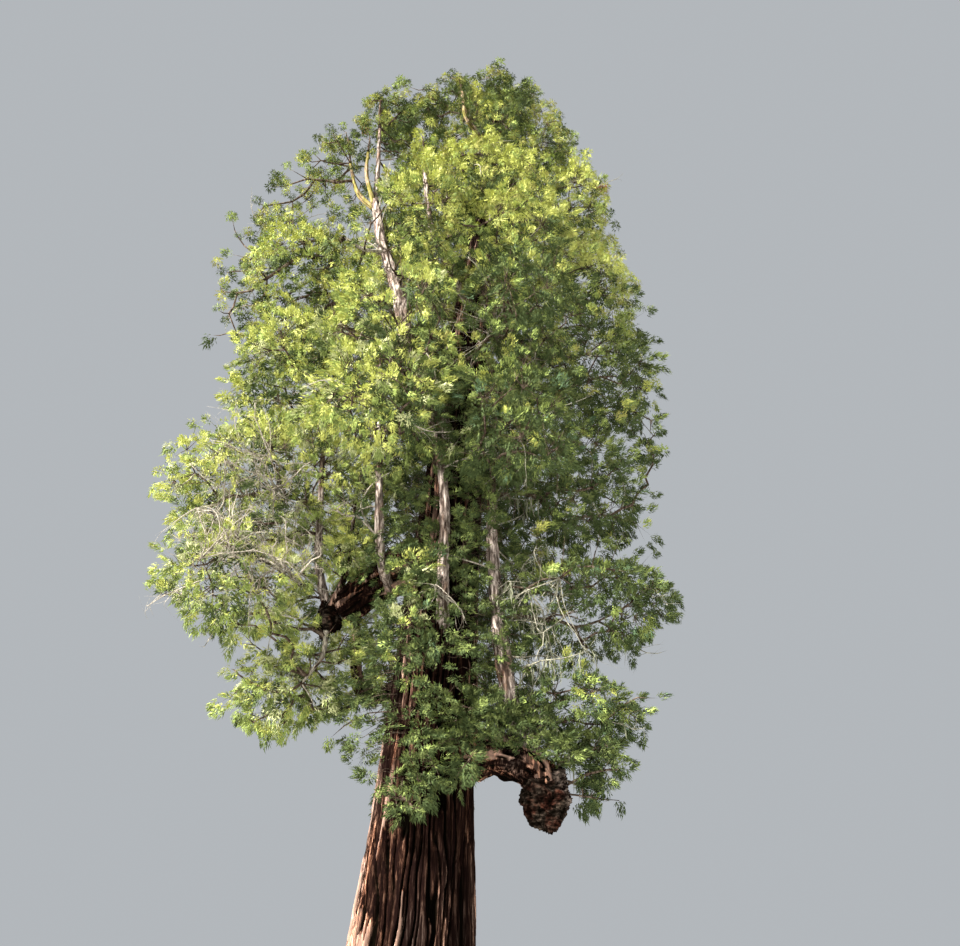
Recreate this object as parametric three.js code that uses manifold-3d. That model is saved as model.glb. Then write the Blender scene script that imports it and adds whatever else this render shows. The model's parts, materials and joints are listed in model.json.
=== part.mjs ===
// An old coast redwood with a leaning, flared trunk, candelabra leaders that rise from burled elbows,
// and a tall column of foliage masses. Millimetres, +Z up, origin on the flat cut at ground level.
import * as THREE from "three";
import { mergeVertices } from "three/addons/utils/BufferGeometryUtils.js";
import Module from "manifold-3d";

const wasm = await Module();
wasm.setup();

// Driving dimensions: tables are in metres and M turns them into millimetres
const M = 1000;
const GAP = 0.6;
const MERGE_DISTANCE = 0.01;
const TRUNK_SIDES = 16;
const LIMB_SIDES = 7;

// Root flare: folds and the left buttress stand out as shares of the radius and fade with height
const FLARE_HEIGHT = 2.6;
const FOLDS = 5;
const FOLD_DEPTH = 0.11;
const FOLD_START = 0.7;
const BUTTRESS_DEPTH = 0.12;
const TWIST_DEPTH = 0.03;
const TWIST_PITCH = 3;

// Foliage: lumps and burl knobs are shares of the radius, the rest are shares of a mass's reach or height
const LUMP_DEPTH = 0.16;
const KNOB_DEPTH = 0.12;
const WIDTH_SHARE = 0.78;
const HEIGHT_SHARE = 0.46;
const RISE_SHARE = 0.09;
const DROOP_SHARE = 0.1;
const OUTWARD_SPREAD = 0.3;

// The trunk's centre and radius at named heights: the foot, the bole, the fork zone and the tip
const TRUNK = [
  { z: 0, x: 0, y: 0, r: 2.0 },
  { z: 0.7, x: 0.02, y: 0, r: 1.82 },
  { z: 1.8, x: 0.06, y: 0, r: 1.66 },
  { z: 3.2, x: 0.12, y: 0, r: 1.54 },
  { z: 4.7, x: 0.2, y: 0, r: 1.45 },
  { z: 6.6, x: 0.32, y: 0, r: 1.32 },
  { z: 8.3, x: 0.41, y: 0, r: 1.22 },
  { z: 10.6, x: 0.5, y: 0.02, r: 1.16 },
  { z: 13.6, x: 0.6, y: 0.05, r: 1.05 },
  { z: 17.0, x: 0.82, y: 0.1, r: 0.92 },
  { z: 21.0, x: 1.12, y: 0.12, r: 0.76 },
  { z: 25.5, x: 1.48, y: 0.1, r: 0.58 },
  { z: 30.0, x: 1.86, y: 0.05, r: 0.4 },
  { z: 34.0, x: 2.2, y: 0, r: 0.24 },
  { z: 37.4, x: 2.5, y: 0, r: 0.12 },
  { z: 39.0, x: 2.62, y: 0, r: 0.04 },
];

// Limbs and leaders: each runs through its points and tapers from its root radius to its tip radius
const LIMBS = {
  right_limb: {
    root: 0.62,
    tip: 0.5,
    bark: "red",
    through: [[1.1, -0.3, 9.0], [2.25, -0.4, 9.0], [3.15, -0.4, 8.5]],
  },
  right_leader: {
    root: 0.34,
    tip: 0.15,
    bark: "pale",
    through: [[3.38, -0.45, 8.2], [3.05, -0.5, 9.0], [2.5, -0.7, 10.6], [2.12, -1.0, 14.2], [2.1, -1.1, 16.4]],
  },
  left_limb: {
    root: 0.66,
    tip: 0.46,
    bark: "red",
    through: [[0.1, 0.1, 14.9], [-1.2, 0.3, 14.3], [-2.4, 0.5, 13.5]],
  },
  left_leader_outer: {
    root: 0.24,
    tip: 0.13,
    bark: "pale",
    through: [[-2.55, 0.45, 13.4], [-2.95, 0.35, 14.6], [-3.1, 0.3, 16.2], [-3.2, 0.3, 18.0]],
  },
  left_leader_fork: {
    root: 0.17,
    tip: 0.1,
    bark: "red",
    through: [[-2.5, 0.2, 13.5], [-2.1, 0, 14.6], [-2.05, -0.1, 15.8]],
  },
  left_leader_inner: {
    root: 0.26,
    tip: 0.12,
    bark: "pale",
    through: [[-0.9, -0.35, 14.1], [-1.16, -0.75, 14.9], [-1.25, -0.9, 17.0], [-1.35, -0.9, 19.4]],
  },
  left_dead_limb: {
    root: 0.13,
    tip: 0.04,
    bark: "dead",
    through: [[-2.6, 0.4, 12.9], [-2.6, 0.2, 12.0], [-3.05, 0, 11.1]],
  },
  front_leader: {
    root: 0.26,
    tip: 0.12,
    bark: "pale",
    through: [[0.75, -0.8, 12.2], [0.74, -1.45, 13.4], [0.72, -1.6, 16.3], [0.2, -1.6, 19.2]],
  },
  upper_left_leader: {
    root: 0.3,
    tip: 0.15,
    bark: "pale",
    through: [[0.9, -0.4, 18.6], [-0.4, -1.4, 21.4], [-1.0, -1.5, 24.4], [-1.6, -1.5, 26.5], [-2.1, -1.4, 29.2]],
  },
  upper_left_fork_1: {
    root: 0.11,
    tip: 0.05,
    bark: "pale",
    through: [[-2.08, -1.4, 28.9], [-2.1, -1.3, 31.0], [-2.2, -1.2, 33.8]],
  },
  upper_left_fork_2: {
    root: 0.1,
    tip: 0.05,
    bark: "mossy",
    through: [[-2.1, -1.45, 28.9], [-2.45, -1.6, 30.4], [-2.5, -1.5, 31.9]],
  },
  upper_left_fork_3: {
    root: 0.11,
    tip: 0.05,
    bark: "mossy",
    through: [[-2.1, -1.4, 28.7], [-2.75, -1.3, 29.7], [-3.2, -1.2, 31.6]],
  },
  upper_left_dead_limb: {
    root: 0.1,
    tip: 0.03,
    bark: "dead",
    through: [[-1.5, -1.5, 26.3], [-2.2, -1.9, 26.0], [-2.9, -2.1, 26.4]],
  },
  upper_front_leader: {
    root: 0.14,
    tip: 0.07,
    bark: "pale",
    through: [[1.5, -0.3, 24.6], [0.2, -1.9, 26.6], [-0.3, -2.2, 30.2]],
  },
  top_limb: {
    root: 0.13,
    tip: 0.06,
    bark: "mossy",
    through: [[2.25, 0, 34.3], [1.3, -0.9, 34.6], [1.0, -1.1, 36.4]],
  },
  back_leader: {
    root: 0.36,
    tip: 0.13,
    bark: "red",
    through: [[0.8, 0.5, 15.0], [0.9, 2.4, 15.4], [1.2, 3.2, 17.6]],
  },
  back_leader_left: {
    root: 0.3,
    tip: 0.12,
    bark: "red",
    through: [[0.6, 0.4, 11.6], [-1.6, 2.0, 11.6], [-2.1, 2.5, 14.2]],
  },
};

// Burls: the knobbed swellings where a limb turns up
const BURLS = {
  right_burl: { centre: [3.42, -0.45, 7.86], half: [0.6, 0.62, 0.72] },
  left_burl: { centre: [-2.62, 0.5, 13.2], half: [0.42, 0.44, 0.62] },
};

// Tiers of foliage round the trunk. Left, right, front and back are the crown's edges from the frame's
// axes, clear is the share of the way out that a mass leaves open, and turn is the first mass's bearing
const TIERS = {
  crest: { z: 37.4, tall: 4.4, left: 0.2, right: 4.9, front: -1.6, back: 2.2, masses: 3, turn: 270, clear: 0 },
  upper: { z: 33.2, tall: 4.3, left: -1.0, right: 6.0, front: -3.1, back: 3.7, masses: 4, turn: 0, clear: 0.1 },
  shoulder: { z: 29.5, tall: 4.3, left: -2.4, right: 7.1, front: -4.3, back: 5.0, masses: 4, turn: 0, clear: 0.1 },
  broad: { z: 25.6, tall: 4.4, left: -7.6, right: 7.8, front: -5.4, back: 5.9, masses: 6, turn: 0, clear: 0.13 },
  middle: { z: 21.6, tall: 4.4, left: -6.9, right: 8.1, front: -5.9, back: 6.4, masses: 6, turn: 0, clear: 0.13 },
  lower: { z: 17.8, tall: 4.2, left: -8.1, right: 7.1, front: -5.7, back: 6.2, masses: 6, turn: 0, clear: 0.13 },
};

// Masses that stand apart from the tiers
const LONE_MASSES = {
  left_crest_mass: { centre: [-1.6, -0.5, 35.1], half: [1.3, 1.3, 1.8] },
  left_upper_mass: { centre: [-3.5, -0.5, 31.0], half: [1.6, 1.9, 1.8] },
  left_shoulder_mass: { centre: [-5.5, -0.4, 28.7], half: [1.8, 1.9, 1.9] },
  left_skirt_mass: { centre: [-5.0, -0.8, 13.7], half: [2.3, 2.7, 1.8] },
  left_hem_mass: { centre: [-3.6, 0.9, 11.1], half: [2.0, 2.2, 1.4] },
  right_skirt_mass: { centre: [4.8, -0.3, 13.2], half: [2.8, 2.8, 1.7] },
  right_hem_mass: { centre: [4.3, 0.2, 10.4], half: [2.1, 2.4, 1.6] },
  right_tail_mass: { centre: [4.6, 0.7, 8.6], half: [0.7, 1.1, 1.2] },
  back_skirt_mass: { centre: [0.4, 3.4, 13.7], half: [3.0, 2.0, 1.9] },
  back_hem_mass: { centre: [1.0, 2.1, 10.6], half: [2.4, 1.5, 1.4] },
  front_spray_mass: { centre: [-0.1, -1.75, 11.6], half: [1.3, 1.0, 1.4] },
};

// Finishes
const FINISHES = {
  red: new THREE.MeshStandardMaterial({ color: 0x5b3423, roughness: 0.95, metalness: 0 }),
  pale: new THREE.MeshStandardMaterial({ color: 0xa39482, roughness: 0.9, metalness: 0 }),
  mossy: new THREE.MeshStandardMaterial({ color: 0x7c7431, roughness: 0.95, metalness: 0 }),
  dead: new THREE.MeshStandardMaterial({ color: 0xb9b09c, roughness: 0.9, metalness: 0 }),
  foliage: new THREE.MeshStandardMaterial({ color: 0x5a7a2e, roughness: 0.85, metalness: 0 }),
};

const tree = new THREE.Group();
const placed = [];

function vectorOf([x, y, z]) {
  return new THREE.Vector3(x, y, z).multiplyScalar(M);
}

// A closed three.js geometry as a solid that can be cut
function solidFrom(geometry) {
  for (const name of Object.keys(geometry.attributes)) {
    if (name !== "position") geometry.deleteAttribute(name);
  }
  const merged = mergeVertices(geometry, MERGE_DISTANCE);
  return new wasm.Manifold(
    new wasm.Mesh({
      numProp: 3,
      vertProperties: merged.attributes.position.array,
      triVerts: new Uint32Array(merged.index.array),
    }),
  );
}

// A solid back as a geometry with flat faces
function geometryFrom(solid) {
  const mesh = solid.getMesh();
  const indexed = new THREE.BufferGeometry();
  indexed.setAttribute("position", new THREE.BufferAttribute(mesh.vertProperties, mesh.numProp));
  indexed.setIndex(new THREE.BufferAttribute(mesh.triVerts, 1));
  const faceted = indexed.toNonIndexed();
  faceted.computeVertexNormals();
  return faceted;
}

// Adds a piece, cut back from every piece placed before it, and keeps its largest body
function place(name, geometryAt, material) {
  let solid = solidFrom(geometryAt(0));
  for (const other of placed) {
    solid = solid.subtract(other);
  }
  const largest = solid
    .decompose()
    .reduce((best, body) => (body.volume() > best.volume() ? body : best));
  const mesh = new THREE.Mesh(geometryFrom(largest), material);
  mesh.name = name;
  tree.add(mesh);
  placed.push(solidFrom(geometryAt(GAP)));
}

// A closed lathe shape whose rings are each moved to a place of their own, by ring, radius and angle
function ringed(radii, sides, pointAt) {
  const last = radii.length - 1;
  const profile = radii.map((r, i) => new THREE.Vector2(r, i / last));
  const closed = [new THREE.Vector2(0, 0), ...profile, new THREE.Vector2(0, 1)];
  const geometry = new THREE.LatheGeometry(closed, sides);
  const position = geometry.attributes.position;
  for (let i = 0; i < position.count; i += 1) {
    const ring = Math.round(position.getY(i) * last);
    const across = Math.hypot(position.getX(i), position.getZ(i));
    const angle = Math.atan2(position.getX(i), position.getZ(i));
    const point = pointAt(ring, across, angle);
    position.setXYZ(i, point.x, point.y, point.z);
  }
  return geometry;
}

// How far an end ring moves outwards when the whole piece grows
function endShift(ring, last, grow) {
  if (ring === 0) return -grow;
  return ring === last ? grow : 0;
}

// The trunk's section as a share of its radius: folds, a left buttress and a slow twist
function trunkSection(angle, z) {
  const fade = Math.exp(-z / FLARE_HEIGHT);
  const folds = FOLD_DEPTH * Math.cos(FOLDS * angle + FOLD_START);
  const buttress = BUTTRESS_DEPTH * Math.max(0, -Math.cos(angle));
  const twist = TWIST_DEPTH * Math.cos(3 * angle + z / TWIST_PITCH);
  return 1 + (folds + buttress) * fade + twist;
}

function trunkGeometry(grow) {
  const last = TRUNK.length - 1;
  const radii = TRUNK.map((station) => station.r * M + grow);
  return ringed(radii, TRUNK_SIDES, (ring, across, angle) => {
    const station = TRUNK[ring];
    const r = across * trunkSection(angle, station.z);
    return new THREE.Vector3(
      station.x * M + r * Math.cos(angle),
      station.y * M + r * Math.sin(angle),
      station.z * M + endShift(ring, last, grow),
    );
  });
}

function limbGeometry({ root, tip, through }, grow) {
  const curve = new THREE.CatmullRomCurve3(through.map(vectorOf), false, "centripetal");
  const last = through.length;
  const frames = curve.computeFrenetFrames(last);
  const radii = [];
  for (let ring = 0; ring <= last; ring += 1) {
    radii.push(THREE.MathUtils.lerp(root, tip, ring / last) * M + grow);
  }
  return ringed(radii, LIMB_SIDES, (ring, across, angle) =>
    curve
      .getPointAt(ring / last)
      .addScaledVector(frames.normals[ring], across * Math.cos(angle))
      .addScaledVector(frames.binormals[ring], across * Math.sin(angle))
      .addScaledVector(frames.tangents[ring], endShift(ring, last, grow)),
  );
}

// Uneven swellings over a unit direction, different for each seed
function swellingAt(d, seed, depth) {
  const a = Math.sin(3.1 * d.x + 2.3 * d.y + 1.7 * seed);
  const b = Math.sin(2.7 * d.y - 3.3 * d.z + 2.9 * seed);
  const c = Math.sin(4.1 * d.z + 2.2 * d.x + 0.6 * seed);
  return 1 + (depth * (a + b + c)) / 3;
}

// One closed, uneven solid round a centre, which spreads and droops along its own +X, away from the trunk
function lumpGeometry({ centre, half, turn = 0, droop = 0, spread = 0, seed, depth }, grow) {
  const geometry = new THREE.IcosahedronGeometry(1, 1);
  const position = geometry.attributes.position;
  const middle = vectorOf(centre);
  const up = new THREE.Vector3(0, 0, 1);
  const d = new THREE.Vector3();
  for (let i = 0; i < position.count; i += 1) {
    d.fromBufferAttribute(position, i);
    const swelling = swellingAt(d, seed, depth);
    const across = swelling * (1 + spread * d.x);
    const point = new THREE.Vector3(
      d.x * (half[0] * M * swelling + grow),
      d.y * (half[1] * M * across + grow),
      d.z * (half[2] * M * across + grow),
    );
    point.z -= droop * M * Math.max(0, d.x) ** 2;
    point.applyAxisAngle(up, turn);
    point.add(middle);
    position.setXYZ(i, point.x, point.y, point.z);
  }
  return geometry;
}

// Where the leaning trunk's axis is at a height
function trunkAxisAt(z) {
  const above = TRUNK.findIndex((station) => station.z >= z);
  const low = TRUNK[above - 1];
  const high = TRUNK[above];
  return THREE.MathUtils.mapLinear(z, low.z, high.z, low.x, high.x);
}

// The masses of one tier, spaced round the trunk and reaching out to the crown's edge
function tierMasses(tier, seed) {
  const axis = trunkAxisAt(tier.z);
  const made = [];
  for (let k = 0; k < tier.masses; k += 1) {
    const turn = THREE.MathUtils.degToRad(tier.turn + (k * 360) / tier.masses);
    const side = Math.cos(turn) > 0 ? tier.right - axis : axis - tier.left;
    const depth = Math.sin(turn) > 0 ? tier.back : -tier.front;
    const reach = 1 / Math.hypot(Math.cos(turn) / side, Math.sin(turn) / depth);
    const out = ((1 + tier.clear) / 2) * reach;
    const width = reach * Math.sin(Math.PI / tier.masses);
    const rise = RISE_SHARE * tier.tall * Math.cos(2.4 * (k + seed));
    made.push({
      centre: [axis + out * Math.cos(turn), out * Math.sin(turn), tier.z + rise],
      half: [reach - out, WIDTH_SHARE * width, HEIGHT_SHARE * tier.tall],
      turn,
      droop: DROOP_SHARE * reach,
      spread: OUTWARD_SPREAD,
      seed: seed + 1.3 * k,
      depth: LUMP_DEPTH,
    });
  }
  return made;
}

place("trunk", trunkGeometry, FINISHES.red);

Object.entries(BURLS).forEach(([name, burl], i) => {
  place(name, (grow) => lumpGeometry({ ...burl, seed: i + 5.1, depth: KNOB_DEPTH }, grow), FINISHES.red);
});

Object.entries(LIMBS).forEach(([name, limb]) => {
  place(name, (grow) => limbGeometry(limb, grow), FINISHES[limb.bark]);
});

Object.entries(LONE_MASSES).forEach(([name, mass], i) => {
  const lumpy = { ...mass, seed: 2.2 * i + 0.4, depth: LUMP_DEPTH };
  place(name, (grow) => lumpGeometry(lumpy, grow), FINISHES.foliage);
});

Object.entries(TIERS).forEach(([tierName, tier], i) => {
  tierMasses(tier, 3.7 * i + 1.1).forEach((mass, k) => {
    place(`${tierName}_mass_${k + 1}`, (grow) => lumpGeometry(mass, grow), FINISHES.foliage);
  });
});

export default tree;
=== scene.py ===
"""An old redwood seen from its foot: furrowed trunk, pale leaders, hanging burls and sprays of needles."""
import json
import math
from collections import namedtuple

import bmesh
import bpy
import numpy as np
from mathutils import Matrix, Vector, noise
from mathutils.bvhtree import BVHTree

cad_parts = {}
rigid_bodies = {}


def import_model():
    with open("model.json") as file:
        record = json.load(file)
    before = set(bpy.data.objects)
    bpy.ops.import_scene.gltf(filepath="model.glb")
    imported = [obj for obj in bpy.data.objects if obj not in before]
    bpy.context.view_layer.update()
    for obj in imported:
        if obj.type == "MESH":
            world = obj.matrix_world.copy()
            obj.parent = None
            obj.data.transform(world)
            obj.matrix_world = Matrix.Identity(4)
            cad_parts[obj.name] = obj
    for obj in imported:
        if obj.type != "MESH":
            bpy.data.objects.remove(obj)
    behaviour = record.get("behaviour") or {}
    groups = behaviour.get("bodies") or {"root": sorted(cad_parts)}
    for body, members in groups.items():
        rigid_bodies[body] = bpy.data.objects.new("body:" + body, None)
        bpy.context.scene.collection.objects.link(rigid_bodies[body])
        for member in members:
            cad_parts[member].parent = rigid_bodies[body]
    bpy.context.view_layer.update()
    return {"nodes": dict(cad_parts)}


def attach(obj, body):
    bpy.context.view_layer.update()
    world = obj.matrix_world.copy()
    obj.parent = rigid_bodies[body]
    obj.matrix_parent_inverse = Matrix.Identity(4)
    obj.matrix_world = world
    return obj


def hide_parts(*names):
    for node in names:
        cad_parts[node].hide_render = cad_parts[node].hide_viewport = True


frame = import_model()
TAU = 2 * math.pi
SEED = 41

# The photographer stands on the ground in front of the tree and tilts the camera up
CAMERA_PLACE = (1.75, -24.4, 0.93)
CAMERA_PITCH = math.radians(35)
PHOTO_WIDTH = 960
FOCAL_PIXELS = 960
SENSOR_WIDTH = 36
VIEW_DEPTH = 500

# Trunk, in metres: height, middle across, middle back, radius
TRUNK = (
    (0.0, 0.0, 0.0, 2.0),
    (0.7, 0.02, 0.0, 1.82),
    (1.8, 0.06, 0.0, 1.66),
    (3.2, 0.12, 0.0, 1.54),
    (4.7, 0.2, 0.0, 1.45),
    (6.6, 0.32, 0.0, 1.32),
    (8.3, 0.41, 0.0, 1.22),
    (10.6, 0.5, 0.02, 1.16),
    (13.6, 0.6, 0.05, 1.05),
    (17.0, 0.82, 0.1, 0.92),
    (21.0, 1.12, 0.12, 0.76),
    (25.5, 1.48, 0.1, 0.58),
    (30.0, 1.86, 0.05, 0.4),
    (34.0, 2.2, 0.0, 0.24),
    (37.4, 2.5, 0.0, 0.12),
    (39.0, 2.62, 0.0, 0.04),
)
TRUNK_SIDES = 540
TRUNK_RING_LOW = 0.14
TRUNK_RING_HIGH = 0.4
TRUNK_FINE_TO = 13.0
TRUNK_STRIPS = 30
GROOVE_DEPTH = 0.17
PLATE_STEP = 0.1
FLARE_FADE = 2.6
FULL_RELIEF_RADIUS = 1.3
# Bands of painted shadow up the trunk, where the crown's shade falls: the way each faces, half its width,
# how dark it is and how high it begins
PAINTED_SHADOW_BANDS = (
    (-2.85, 0.55, 0.8, 8.0),
    (-1.3, 0.44, 1.0, 4.9),
    (-0.4, 0.34, 0.5, 0.0),
    (1.0, 0.4, 0.9, 2.0),
    (2.5, 0.3, 0.8, 0.0),
)

# Limbs, in metres: radius at root and tip, finish, how far each carries on into the foliage, and its path
Limb = namedtuple("Limb", "root tip finish run_on points")
LIMBS = {
    "right_limb": Limb(
        0.62, 0.4, "red", 0, ((1.1, -0.3, 9.0), (2.25, -0.4, 9.0), (3.1, -0.4, 8.6), (3.42, -0.44, 8.0)),
    ),
    "right_leader": Limb(
        0.29, 0.13, "pale", 3.5,
        ((3.4, -0.45, 8.0), (3.05, -0.5, 9.0), (2.5, -0.7, 10.6), (2.12, -1.0, 14.2), (2.1, -1.1, 16.4)),
    ),
    "left_limb": Limb(0.66, 0.46, "red", 0, ((0.1, 0.1, 14.9), (-1.2, 0.3, 14.3), (-2.4, 0.5, 13.5))),
    "left_leader_outer": Limb(
        0.15, 0.08, "pale", 2.0,
        ((-2.55, 0.45, 13.4), (-2.95, 0.35, 14.6), (-3.1, 0.3, 16.2), (-3.2, 0.3, 18.0)),
    ),
    "left_leader_fork": Limb(
        0.12, 0.07, "red", 2.0, ((-2.5, 0.2, 13.5), (-2.1, 0.0, 14.6), (-2.05, -0.1, 15.8)),
    ),
    "left_leader_inner": Limb(
        0.15, 0.08, "pale", 3.5,
        ((-0.8, 0.0, 13.9), (-1.05, -0.55, 14.5), (-1.22, -0.9, 16.6), (-1.35, -0.9, 19.4)),
    ),
    "left_dead_limb": Limb(
        0.08, 0.03, "dead", 0, ((-2.6, 0.4, 12.9), (-2.6, 0.2, 12.0), (-3.05, 0.0, 11.1)),
    ),
    "front_leader": Limb(
        0.18, 0.09, "pale", 3.5,
        ((0.75, -0.8, 12.2), (0.74, -1.45, 13.4), (0.72, -1.6, 16.3), (0.2, -1.6, 19.2)),
    ),
    "upper_left_leader": Limb(
        0.3, 0.15, "pale", 0,
        ((0.9, -0.4, 18.6), (-0.4, -1.4, 21.4), (-1.0, -1.5, 24.4), (-1.6, -1.5, 26.5), (-2.1, -1.4, 29.2)),
    ),
    "upper_left_fork_1": Limb(
        0.11, 0.05, "pale", 1.5, ((-2.08, -1.4, 28.9), (-2.1, -1.3, 31.0), (-2.2, -1.2, 33.8)),
    ),
    "upper_left_fork_2": Limb(
        0.1, 0.05, "mossy", 1.6, ((-2.1, -1.45, 28.9), (-2.45, -1.6, 30.4), (-2.5, -1.5, 31.9)),
    ),
    "upper_left_fork_3": Limb(
        0.11, 0.05, "mossy", 1.6, ((-2.1, -1.4, 28.7), (-2.75, -1.3, 29.7), (-3.2, -1.2, 31.6)),
    ),
    "upper_left_dead_limb": Limb(
        0.1, 0.03, "dead", 0, ((-1.5, -1.5, 26.3), (-2.2, -1.9, 26.0), (-2.9, -2.1, 26.4)),
    ),
    "upper_front_leader": Limb(
        0.14, 0.07, "pale", 2.2, ((1.5, -0.3, 24.6), (0.2, -1.9, 26.6), (-0.3, -2.2, 30.2)),
    ),
    "top_limb": Limb(0.13, 0.06, "mossy", 0.9, ((2.25, 0.0, 34.3), (1.3, -0.9, 34.6), (1.0, -1.1, 36.4))),
    "back_leader": Limb(0.36, 0.13, "red", 4.0, ((0.8, 0.5, 15.0), (0.9, 2.4, 15.4), (1.2, 3.2, 17.6))),
    "back_leader_left": Limb(
        0.3, 0.12, "red", 4.0, ((0.6, 0.4, 11.6), (-1.6, 2.0, 11.6), (-2.1, 2.5, 14.2)),
    ),
}
LIMB_RING = 0.09
LIMB_SIDES_PER_METRE = 83.2
LIMB_RIDGES_PER_METRE = 26
PATH_STEPS = 24
# Which places of a curve are blended, by their knots, from its four points down to one
PATH_BLENDS = (((0, 1), (1, 2), (2, 3)), ((0, 2), (1, 3)), ((1, 2),))

# Burls, in metres: middle, half size and the way that a torn side faces, next to nothing on a whole one
BURLS = {
    "right_burl": ((3.42, -0.45, 7.86), (0.6, 0.62, 0.72), (0.9, -0.25, 0.5)),
    "left_burl": ((-2.6, 0.5, 13.25), (0.34, 0.36, 0.6), (0.01, 0.0, 0.01)),
}

# Shades of each wood from the cracks to the crests of its fibres: places on the scale, then the colours
SHADES = {
    "red": (
        (0.43, 0.49, 0.55, 0.63),
        (0.002, 0.001, 0.0008), (0.01, 0.004, 0.003), (0.13, 0.058, 0.036), (0.6, 0.33, 0.22),
    ),
    "grey": (
        (0.43, 0.49, 0.55, 0.63),
        (0.003, 0.002, 0.0015), (0.014, 0.009, 0.007), (0.15, 0.1, 0.082), (0.62, 0.46, 0.4),
    ),
    "pale": ((0.4, 0.51, 0.62), (0.03, 0.022, 0.018), (0.2, 0.16, 0.142), (0.52, 0.45, 0.41)),
    "warm": ((0.4, 0.51, 0.64), (0.02, 0.011, 0.008), (0.1, 0.054, 0.035), (0.28, 0.17, 0.12)),
    "moss": ((0.3, 0.5, 0.7), (0.045, 0.04, 0.012), (0.14, 0.125, 0.035), (0.25, 0.23, 0.075)),
    "bare": ((0.3, 0.5, 0.7), (0.06, 0.04, 0.022), (0.2, 0.14, 0.09), (0.36, 0.3, 0.24)),
    "burl_grey": ((0.42, 0.52, 0.64), (0.002, 0.0015, 0.001), (0.01, 0.0075, 0.006), (0.06, 0.045, 0.035)),
    "burl_red": ((0.42, 0.52, 0.64), (0.002, 0.001, 0.0008), (0.014, 0.005, 0.0035), (0.075, 0.028, 0.018)),
    "torn": ((0.45, 0.62), (0.008, 0.005, 0.004), (0.18, 0.14, 0.12)),
    "bleached": ((0.36, 0.5, 0.66), (0.07, 0.06, 0.047), (0.24, 0.215, 0.18), (0.41, 0.375, 0.315)),
    # Lichen grey-green, darkened as painted shade
    "lichened": ((0.36, 0.5, 0.66), (0.05, 0.047, 0.036), (0.165, 0.158, 0.124), (0.34, 0.325, 0.26)),
    "bough": ((0.34, 0.5, 0.66), (0.012, 0.008, 0.006), (0.05, 0.035, 0.026), (0.15, 0.12, 0.095)),
}
# Painted shade, near black, for the grooves of the trunk and of the burls
PAINTED_CREVICE_SHADE = (0.002, 0.0015, 0.001, 1)


# Materials


class Finish:
    """A material being wired: its principled shader and the nodes that feed it, on object coordinates."""

    def __init__(self, name, roughness, specular):
        self.material = bpy.data.materials.new(name)
        self.material.use_nodes = True
        self.nodes = self.material.node_tree.nodes
        self.links = self.material.node_tree.links
        self.shader = self.nodes["Principled BSDF"]
        self.feed(self.shader, Roughness=roughness, Specular_IOR_Level=specular)
        self.place = self.nodes.new("ShaderNodeTexCoord").outputs["Object"]

    def feed(self, node, **values):
        """Links each named socket of the node to the output given for it, or sets it to the value."""
        for name, value in values.items():
            socket = node.inputs[name.replace("_", " ")]
            if isinstance(value, bpy.types.NodeSocket):
                self.links.new(value, socket)
            else:
                socket.default_value = value

    def node(self, kind, **values):
        made = self.nodes.new(f"ShaderNode{kind}")
        self.feed(made, **values)
        return made

    def grain(self, scale, stretch=(1, 1, 1), detail=5.0, roughness=0.6):
        place = self.node("Mapping", Vector=self.place, Scale=stretch).outputs["Vector"]
        made = self.node("TexNoise", Vector=place, Scale=scale, Detail=detail, Roughness=roughness)
        return made.outputs["Fac"]

    def layer(self, name):
        made = self.node("Attribute")
        made.attribute_name = name
        return made.outputs["Fac"]

    def ramp(self, factor, shade):
        made = self.node("ValToRGB", Fac=factor)
        points = made.color_ramp.elements
        places, *colours = SHADES[shade]
        while len(points) < len(places):
            points.new(0.5)
        for point, at, colour in zip(points, places, colours):
            point.position = at
            point.color = (*colour, 1)
        return made.outputs["Color"]

    def window(self, factor, low, high):
        return self.node("MapRange", Value=factor, From_Min=low, From_Max=high).outputs["Result"]

    def mix(self, factor, first, second):
        made = self.node("Mix")
        made.data_type = "RGBA"
        self.feed(made, Factor=factor, A=first, B=second)
        return next(o for o in made.outputs if o.type == "RGBA")

    def colour(self, value):
        self.feed(self.shader, Base_Color=value)

    def bump(self, height, distance, strength=0.8):
        made = self.node("Bump", Height=height, Distance=distance, Strength=strength)
        self.feed(self.shader, Normal=made.outputs["Normal"])


def patched_bark(name, gloss, fibre, patch, edge, shades):
    """Bark of two shades in patches. Returns the finish, its fibres and its colour so far."""
    made = Finish(name, *gloss)
    fibres = made.grain(*fibre)
    patches = made.window(made.grain(*patch), *edge)
    return made, fibres, made.mix(patches, *[made.ramp(fibres, shade) for shade in shades])


def red_bark():
    """Red and grey fibres: painted highlight on raised strips, painted shade on sunken ones, bands and
    grooves.
    """
    made, fibres, face = patched_bark(
        "red_bark", (1.0, 0.0), (13.0, (1, 1, 0.055), 8, 0.78), (0.7, (1, 1, 0.25)), (0.45, 0.6),
        ("red", "grey"),
    )
    # Painted highlight, pale pink, on the strips that stand out most
    painted_highlight = made.mix(0.42, face, (0.54, 0.345, 0.275, 1))
    # Painted shade, near black, on sunken strips and in the bands of painted shadow
    dark = made.mix(0.93, face, (0.004, 0.002, 0.0018, 1))
    face = made.mix(made.window(made.layer("plate"), 0.7, 1.0), face, painted_highlight)
    face = made.mix(made.window(made.layer("plate"), 0.3, 0.6), dark, face)
    # Painted shade in the grooves
    made.colour(made.mix(made.window(made.layer("groove"), 0.1, 0.6), face, PAINTED_CREVICE_SHADE))
    made.bump(fibres, 0.03, 1.0)
    return made.material


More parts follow.
